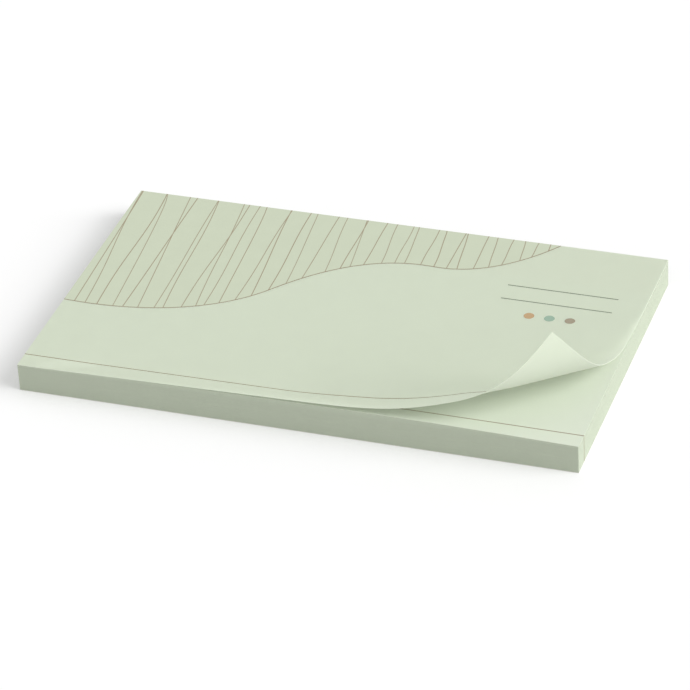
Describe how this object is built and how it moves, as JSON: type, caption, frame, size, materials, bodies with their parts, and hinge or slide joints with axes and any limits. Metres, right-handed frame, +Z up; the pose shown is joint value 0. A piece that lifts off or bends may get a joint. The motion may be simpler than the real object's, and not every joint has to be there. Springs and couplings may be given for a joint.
{
  "type": "sticky note pad",
  "caption": "Rectangular pad of sticky notes, glued along its back edge, with the top note's front right corner curled up.",
  "frame": {"origin": "middle of the pad's base, where it lies on the table", "axes": "+X to the right along the long edge, +Y from the free front edge to the glued back edge, +Z up out of the pad"},
  "size_m": [0.125, 0.075, 0.0273],
  "materials": {
    "printed_paper": "matt uncoated paper, pale green, printed with thin brown lines",
    "low_tack_glue": "thin clear low-tack glue film",
    "paper_pile": "cut edges of a pile of matt pale green paper",
    "backing_paper": "plain matt release paper"
  },
  "bodies": {
    "root": {"top_note": "printed_paper", "adhesive_strip": "low_tack_glue", "note_block": "paper_pile", "backing_sheet": "backing_paper"}
  },
  "joints": []
}
